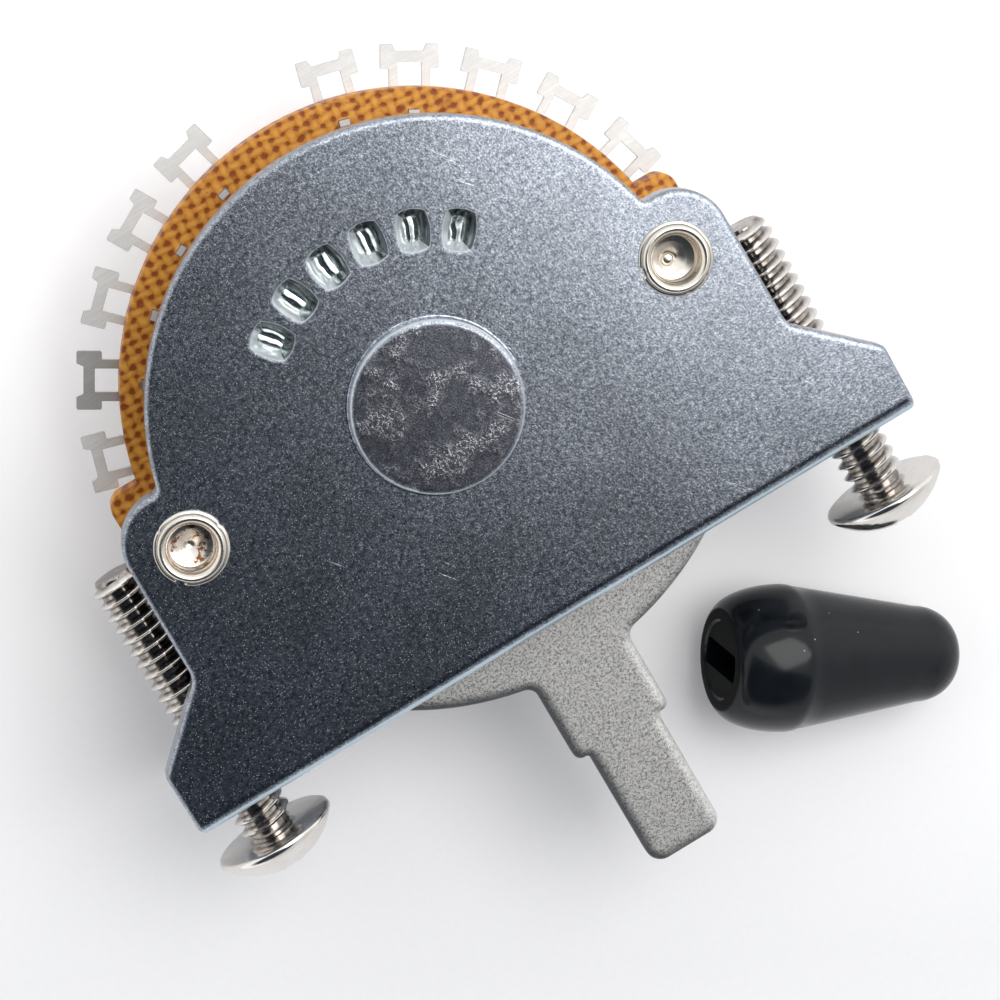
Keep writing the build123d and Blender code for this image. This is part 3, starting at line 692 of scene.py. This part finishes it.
def carry_loop(bm, edges, height, radius):
    """Extrude a round loop about the z axis to a new height and radius, and return its edges."""
    grown = bmesh.ops.extrude_edge_only(bm, edges=edges)["geom"]
    verts = [g for g in grown if isinstance(g, bmesh.types.BMVert)]
    old = max(v.co.xy.length for v in verts)
    bmesh.ops.scale(bm, verts=verts, vec=(radius / old, radius / old, 1.0))
    bmesh.ops.translate(bm, verts=verts, vec=(0, 0, height - verts[0].co.z))
    return [g for g in grown if isinstance(g, bmesh.types.BMEdge)]


def cut_thread(bm, pitch, root, crest, start, end, steps):
    """Spin a row of thread teeth up the z axis and trim it to its length."""
    shoulder = crest - 0.05
    tooth = (
        (root, 0.0), (root, 0.14), (shoulder, 0.42), (crest, 0.48),
        (crest, 0.54), (shoulder, 0.60), (root, 0.88),
    )
    turns = ceil((end - start) / pitch) + 2
    verts = [
        bm.verts.new((radius, 0, start + (turn - 1.5 + share) * pitch))
        for turn in range(turns)
        for radius, share in tooth
    ]
    edges = [bm.edges.new(pair) for pair in zip(verts, verts[1:])]
    bmesh.ops.spin(
        bm, geom=verts + edges, cent=(0, 0, 0), axis=(0, 0, 1), dvec=(0, 0, pitch / steps), angle=tau,
        steps=steps, use_merge=False, use_duplicate=False
    )
    bmesh.ops.remove_doubles(bm, verts=bm.verts[:], dist=1e-4)


def trim(bm, height, keep_above):
    """Cut the mesh at one height and throw one side away."""
    geom = bm.verts[:] + bm.edges[:] + bm.faces[:]
    bmesh.ops.bisect_plane(
        bm, geom=geom, plane_co=(0, 0, height), plane_no=(0, 0, 1),
        clear_inner=keep_above, clear_outer=not keep_above
    )


def sink_recess(bm, width, span, depth, top):
    """Score a cross into the head's dome and push it in."""
    cuts = [(x, y, s * o) for x, y in ((1, 0), (0, 1)) for s in (-1, 1) for o in (width / 2, span / 2)]
    for x, y, offset in cuts:
        middles = [(f, f.calc_center_median()) for f in bm.faces]
        dome = [f for f, middle in middles if middle.z < top and middle.xy.length < span]
        geom = list({v for f in dome for v in f.verts}) + list({e for f in dome for e in f.edges}) + dome
        bmesh.ops.bisect_plane(bm, geom=geom, plane_co=(x * offset, y * offset, 0), plane_no=(x, y, 0))
    cross = []
    for face in bm.faces:
        middle = face.calc_center_median()
        short, long = sorted((abs(middle.x), abs(middle.y)))
        if middle.z < top and short < width / 2 and long < span / 2:
            cross.append(face)
    grown = bmesh.ops.extrude_face_region(bm, geom=cross)["geom"]
    verts = [g for g in grown if isinstance(g, bmesh.types.BMVert)]
    bmesh.ops.delete(bm, geom=[f for f in cross if f.is_valid], context="FACES_ONLY")
    deepest = min(v.co.z for v in verts) + depth
    for vert in verts:
        vert.co.z = deepest - 0.25 * vert.co.xy.length
    bmesh.ops.scale(bm, verts=verts, vec=(0.86, 0.86, 1.0))


class SWITCH_OT_screws(bpy.types.Operator):
    """Model both mounting screws with a rolled thread, a plain neck and a domed head"""

    bl_idname = "switch.screws"
    bl_label = "Mounting screws"

    def execute(self, context):
        sizes = context.scene.switch_sizes
        nickel = screw_nickel(context.scene.switch_colours)
        rim, rise, chamfer, steps = 0.35, 1.9, 0.5, 48
        for side in ("left", "right"):
            low, high = (corner / MM for corner in map(Vector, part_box("mounting_screw_" + side)))
            head_r = (high.x - low.x) / 2
            length = high.y - low.y - rim - rise
            crest, root = screw_crest_r, sizes.thread_root
            bm = bmesh.new()
            cut_thread(bm, sizes.thread_pitch, root, crest, sizes.neck_length, length, steps)
            run_out = sizes.neck_length + 0.5 * sizes.thread_pitch
            for vert in bm.verts:
                radius = vert.co.xy.length
                grown = max(0.0, min(1.0, (vert.co.z - sizes.neck_length) / (run_out - sizes.neck_length)))
                limit = root + (crest - root) * grown
                limit = min(limit, max(root - 0.15, crest - chamfer + (length - vert.co.z)))
                if radius > limit:
                    vert.co.xy *= limit / radius
            trim(bm, sizes.neck_length, True)
            trim(bm, length, False)
            bmesh.ops.edgeloop_fill(bm, edges=open_edges(bm, length))
            loop = open_edges(bm, sizes.neck_length)
            loop = carry_loop(bm, loop, 0.15, root + 0.02)
            loop = carry_loop(bm, loop, 0.0, root + 0.17)
            loop = carry_loop(bm, loop, 0.0, head_r - 0.25)
            loop = carry_loop(bm, loop, -0.05, head_r - 0.08)
            loop = carry_loop(bm, loop, -0.15, head_r)
            dome_r = (head_r**2 + rise**2) / (2 * rise)
            widest = asin(head_r / dome_r)
            for step in range(12):
                angle = widest * (1 - step / 12.2)
                top = -rim - (dome_r * cos(angle) - (dome_r - rise))
                loop = carry_loop(bm, loop, top, dome_r * sin(angle))
            bmesh.ops.edgeloop_fill(bm, edges=loop)
            sink_recess(bm, sizes.recess_width, sizes.recess_span, sizes.recess_depth, -rim - 0.3)
            head_at = Vector(((low.x + high.x) / 2, low.y + rim + rise, (low.z + high.z) / 2))
            place = Matrix.Translation(head_at) @ Matrix.Rotation(radians(-90), 4, "X")
            settle(bm, "threaded_screw_" + side, "mounting_screw_" + side, nickel, place, 45.0)
        return {"FINISHED"}


class SWITCH_OT_rivets(bpy.types.Operator):
    """Model both rivets with a rolled crown, a split outer step and a bored middle"""

    bl_idname = "switch.rivets"
    bl_label = "Rivets"

    def execute(self, context):
        sizes = context.scene.switch_sizes
        metal = bpy.data.materials.get("rivet_plating") or rivet_plating(context.scene.switch_colours)
        # Turn and half width in degrees, and depth, of each split in the outer step
        splits = {
            "left": ((222, 5, 0.22), (120, 3, 0.05), (10, 3, 0.06)),
            "right": ((172, 6, 0.20), (262, 3, 0.07), (300, 3, 0.06)),
        }
        for side in ("left", "right"):
            low, high = (corner / MM for corner in map(Vector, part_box("rivet_" + side)))
            head_r = (high.x - low.x) / 2
            bore = sizes.bore_r
            deep = sizes.bore_depth
            bottom = low.z - plate_top
            outline = [
                (0, -deep - 0.22), (0.30, -deep - 0.20), (0.34, -deep - 0.15), (0.55, -deep - 0.13),
                (0.60, -deep - 0.08), (0.82, -deep - 0.06), (0.87, -deep - 0.01), (1.08, -deep + 0.01),
                (bore - 0.04, -deep + 0.08), (bore, -deep + 0.2), (bore, -0.16), (bore + 0.03, 0.0),
                (bore + 0.09, 0.15), (bore + 0.17, 0.28), (bore + 0.27, 0.38), (bore + 0.38, 0.43),
                (bore + 0.49, 0.42), (bore + 0.59, 0.35), (bore + 0.67, 0.23), (bore + 0.70, 0.13),
                (head_r - 0.05, 0.11), (head_r, 0.06), (head_r, 0.0),
                (1.65, 0.0), (1.65, bottom + 0.4), (head_r, bottom + 0.4), (head_r, bottom + 0.1),
                (head_r - 0.1, bottom), (0, bottom),
            ]
            bm = bmesh.new()
            spin_profile(bm, [(radius, 0, height) for radius, height in outline], (0, 0, 1), 96)
            for vert in bm.verts:
                if vert.co.z < -0.001 or vert.co.xy.length < bore + 0.64:
                    continue
                heading = atan2(vert.co.y, vert.co.x) % tau
                for turn, half_width, depth in splits[side]:
                    off = abs((heading - radians(turn) + pi) % tau - pi)
                    if off < radians(half_width):
                        radius = vert.co.xy.length
                        vert.co.xy *= max(bore + 0.62, radius - depth) / radius
                        vert.co.z = max(0.0, vert.co.z - depth * 0.3)
                vert.co.xy *= 1 - 0.006 * (1 + sin(9 * heading) * sin(4 * heading + 1))
            if side == "right":
                pip = bmesh.ops.create_uvsphere(bm, u_segments=24, v_segments=12, radius=0.38)["verts"]
                bmesh.ops.scale(bm, verts=pip, vec=(1, 1, 0.42))
                bmesh.ops.translate(bm, verts=pip, vec=(-0.28, 0.0, -deep - 0.08))
            place = Matrix.Translation(((low.x + high.x) / 2, (low.y + high.y) / 2, plate_top))
            settle(bm, "rolled_rivet_" + side, "rivet_" + side, metal, place, 50.0)
        return {"FINISHED"}


class SWITCH_OT_cap(bpy.types.Operator):
    """Model the loose lever cap with its parting ring and flat socket"""

    bl_idname = "switch.cap"
    bl_label = "Lever cap"

    def execute(self, context):
        sizes = context.scene.switch_sizes
        plastic = gloss_plastic(context.scene.switch_colours)
        belly_at, belly = sizes.cap_belly_at, sizes.cap_belly_r
        mouth_r, nose = sizes.cap_mouth_r, sizes.cap_nose_r
        dome, corner, lip_r, lip_depth = 0.5, 2.6, 2.5, 0.12
        run = sizes.cap_length - belly_at
        lean = atan2(belly - nose, run - dome)
        bm = bmesh.new()
        outline = [(-belly_at + lip_depth, lip_r - 0.15), (-belly_at, lip_r), (-belly_at, mouth_r - 0.1)]
        # The belly swells from the mouth in a quarter of an oval
        for step in range(1, 19):
            angle = step / 18 * pi / 2
            outline.append((-belly_at * cos(angle), mouth_r + (belly - mouth_r) * sin(angle) ** 0.92))
        ring_at, ring_width, ring_depth = 0.55, 0.16, 0.07
        ring_r = belly - 0.05
        slope = (belly - nose) / (run - dome)
        outline += [(ring_at - ring_width, ring_r), (ring_at - ring_width / 4, ring_r - ring_depth)]
        taper_end = run - corner - 0.15
        for step in range(1, 10):
            along = ring_at + (taper_end - ring_at) * step / 9
            outline.append((along, belly - slope * along - 0.02 / step))
        start = outline[-1]
        # The nose rounds over a corner and a low dome
        reach = run - start[0]
        for step in range(1, 14):
            angle = step / 14 * pi / 2
            outline.append((start[0] + reach * sin(angle), start[1] * cos(angle) ** 0.80))
        outline.append((run, 0.0))
        spin_profile(bm, [(along, radius, 0) for along, radius in outline], (1, 0, 0), 80)
        rim = [e for e in bm.edges if e.is_boundary]
        # The socket's flat mouth is bridged to the round lip and pushed in
        half_thick, half_tall, socket_depth = 0.85, 2.45 * 0.93, 7.8
        mouth = bmesh.ops.create_grid(bm, x_segments=2, y_segments=2, size=1.0)["verts"]
        turn = Matrix.Rotation(sizes.cap_roll, 4, "X") @ Matrix.Translation((-belly_at + lip_depth, 0, 0))
        turn = turn @ Matrix.Rotation(pi / 2, 4, "Y") @ Matrix.Diagonal((half_tall, half_thick, 1, 1))
        bmesh.ops.transform(bm, matrix=turn, verts=mouth)
        flat = list({f for v in mouth for f in v.link_faces})
        bmesh.ops.delete(bm, geom=flat, context="FACES_ONLY")
        middle = [v for v in mouth if v.is_valid and len(v.link_edges) == 4]
        bmesh.ops.delete(bm, geom=middle, context="VERTS")
        sides = list({e for v in mouth if v.is_valid for e in v.link_edges})
        bmesh.ops.subdivide_edges(bm, edges=sides, cuts=7)
        bmesh.ops.bridge_loops(bm, edges=rim + [e for e in bm.edges if e.is_wire])
        opening = [e for e in bm.edges if e.is_boundary]
        grown = bmesh.ops.extrude_edge_only(bm, edges=opening)["geom"]
        deep = [g for g in grown if isinstance(g, bmesh.types.BMVert)]
        bmesh.ops.translate(bm, verts=deep, vec=(socket_depth, 0, 0))
        bmesh.ops.edgeloop_fill(bm, edges=[g for g in grown if isinstance(g, bmesh.types.BMEdge)])

        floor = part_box("lever_cap")[0][2] / MM
        c, s, cl, sl = cos(sizes.cap_turn), sin(sizes.cap_turn), cos(lean), sin(lean)
        along, across, up = Vector((c * cl, s * cl, -sl)), Vector((-s, c, 0)), Vector((c * sl, s * sl, cl))
        centre = Vector((*cap_ring_at, floor + belly * cl))
        place = Matrix.Translation(centre) @ Matrix((along, across, up)).transposed().to_4x4()
        settle(bm, "loose_cap", "lever_cap", plastic, place, 30.0)
        return {"FINISHED"}


class SWITCH_OT_frame(bpy.types.Operator):
    """Give the bent frame its zinc plating"""

    bl_idname = "switch.frame"
    bl_label = "Bent frame"

    def execute(self, context):
        dress(zinc_plating(context.scene.switch_colours), "frame")
        return {"FINISHED"}


class SWITCH_OT_boards(bpy.types.Operator):
    """Give the wafer, the rotor and the spacing washer their cloth laminate"""

    bl_idname = "switch.boards"
    bl_label = "Laminate boards"

    def execute(self, context):
        dress(cloth_laminate(context.scene.switch_colours), "wafer", "rotor", "lever_spacer")
        return {"FINISHED"}


class SWITCH_OT_contacts(bpy.types.Operator):
    """Give the solder lugs and the rotor's blades their tinning"""

    bl_idname = "switch.contacts"
    bl_label = "Lugs and blades"

    def execute(self, context):
        tin = context.scene.switch_colours.tin
        lugs = [f"lug_{number}" for number in range(1, LUG_COUNT + 1) if number != DULL_LUG]
        dress(tinned_sheet("bright_tin", tin), "rotor_blade_1", "rotor_blade_2", *lugs)
        # This lug gets a darker copy of the tin as painted shade
        dress(tinned_sheet("shaded_tin", tuple(0.55 * c for c in tin)), f"lug_{DULL_LUG}")
        return {"FINISHED"}


class SWITCH_OT_lever(bpy.types.Operator):
    """Give the lever, its hub, the spring and the clip their metal finishes"""

    bl_idname = "switch.lever"
    bl_label = "Lever and pivot"

    def execute(self, context):
        colours = context.scene.switch_colours
        dress(lever_plating(colours), "lever", "pivot_hub")
        dress(dull_plating("spring_steel", colours.spring), "detent_spring", "retaining_clip")
        return {"FINISHED"}


class SWITCH_OT_columns(bpy.types.Operator):
    """Give the spacers, the washers and the rotor's rivets their plating"""

    bl_idname = "switch.columns"
    bl_label = "Spacers and washers"

    def execute(self, context):
        colours = context.scene.switch_colours
        dress(dull_plating("spacer_plating", colours.rivet_metal), "spacer_left", "spacer_right")
        metal = bpy.data.materials.get("rivet_plating") or rivet_plating(colours)
        dress(metal, "rivet_washer_left", "rivet_washer_right", "rotor_rivets")
        return {"FINISHED"}


class SWITCH_OT_stage(bpy.types.Operator):
    """Set the table, the light and the camera"""

    bl_idname = "switch.stage"
    bl_label = "Table, light and camera"

    def execute(self, context):
        scene = context.scene
        bm = bmesh.new()
        table_half = 4.0
        bmesh.ops.create_grid(bm, x_segments=8, y_segments=8, size=table_half)
        bmesh.ops.translate(bm, verts=bm.verts[:], vec=(0, 0, floor_height))
        mesh = bpy.data.meshes.new("table_top")
        bm.to_mesh(mesh)
        bm.free()
        mesh.materials.append(pale_table(scene.switch_colours))
        table = bpy.data.objects.new("table_top", mesh)
        scene.collection.objects.link(table)

        self.light_room(scene)
        self.add_lamp(scene, "window", place=(0.495, 0.165, 0.90), size=0.74, power=5.6)
        self.add_camera(scene)
        scene.view_settings.view_transform = "Standard"
        return {"FINISHED"}

    def light_room(self, scene):
        """A bright room with a dark patch overhead, left of the bright side, and a dimmer front."""
        world = bpy.data.worlds.new("room")
        world.use_nodes = True
        scene.world = world
        t = Tree(world.node_tree)
        heading = t.add("ShaderNodeTexCoord").outputs["Generated"]
        near = t.facing(heading, (-0.25, -0.29, 0.92))
        side = t.facing(heading, (1.0, 0.60, 0.0))
        front = t.facing(heading, (0.30, -0.82, 0.48))
        dark = t.times(t.spread(near, 0.56, 0.80, smooth=True), t.spread(side, 0.09, -0.02, smooth=True))
        level = t.spread(dark, 0.0, 1.0, 1.0, 0.02)
        level = t.times(level, t.spread(front, 0.50, 0.95, 1.0, 0.62, smooth=True))
        back = world.node_tree.nodes["Background"].inputs
        t.put(back["Color"], t.mix(level, (0.010, 0.016, 0.028), (0.97, 0.985, 1.0)))
        back["Strength"].default_value = 1.26

    def add_lamp(self, scene, name, place, size, power):
        lamp = bpy.data.lights.new(name, "AREA")
        lamp.size = size
        lamp.energy = power
        lamp.color = (1.0, 0.985, 0.96)
        holder = bpy.data.objects.new(name, lamp)
        holder.location = place
        scene.collection.objects.link(holder)

    def add_camera(self, scene):
        """The photograph's camera: nearly straight above, a little behind the pivot."""
        camera = bpy.data.cameras.new("camera")
        camera.sensor_width = SENSOR_WIDTH
        camera.lens = FOCAL_SHARE * SENSOR_WIDTH
        camera.clip_start = 0.005
        camera.clip_end = 20.0
        holder = bpy.data.objects.new("camera", camera)
        world_to_camera = Matrix.Identity(3)
        for axis, turn in CAMERA_TURNS:
            world_to_camera = world_to_camera @ Matrix.Rotation(turn, 3, axis)
        holder.matrix_world = Matrix.Translation(CAMERA_PLACE) @ world_to_camera.transposed().to_4x4()
        scene.collection.objects.link(holder)
        scene.camera = holder


class SWITCH_PT_panel(bpy.types.Panel):
    """Sidebar panel with the switch's sizes, colours and steps"""

    bl_idname = "SWITCH_PT_panel"
    bl_label = "Selector switch"
    bl_space_type = "VIEW_3D"
    bl_region_type = "UI"
    bl_category = "Selector switch"

    def draw(self, context):
        for step in STEPS:
            self.layout.operator(step.bl_idname)
        for group in (context.scene.switch_sizes, context.scene.switch_colours):
            box = self.layout.box()
            for name in type(group).__annotations__:
                box.prop(group, name)


STEPS = (
    SWITCH_OT_frame,
    SWITCH_OT_boards,
    SWITCH_OT_contacts,
    SWITCH_OT_lever,
    SWITCH_OT_columns,
    SWITCH_OT_screws,
    SWITCH_OT_rivets,
    SWITCH_OT_cap,
    SWITCH_OT_stage,
)
CLASSES = (SwitchSizes, SwitchColours, *STEPS, SWITCH_PT_panel)


def register():
    for cls in CLASSES:
        bpy.utils.register_class(cls)
    bpy.types.Scene.switch_sizes = bpy.props.PointerProperty(type=SwitchSizes)
    bpy.types.Scene.switch_colours = bpy.props.PointerProperty(type=SwitchColours)


def unregister():
    del bpy.types.Scene.switch_colours
    del bpy.types.Scene.switch_sizes
    for cls in reversed(CLASSES):
        bpy.utils.unregister_class(cls)


def main():
    """Build and dress the whole switch."""
    register()
    bpy.ops.switch.frame()
    bpy.ops.switch.boards()
    bpy.ops.switch.contacts()
    bpy.ops.switch.lever()
    bpy.ops.switch.columns()
    bpy.ops.switch.screws()
    bpy.ops.switch.rivets()
    bpy.ops.switch.cap()
    bpy.ops.switch.stage()


if __name__ == "__main__":
    main()
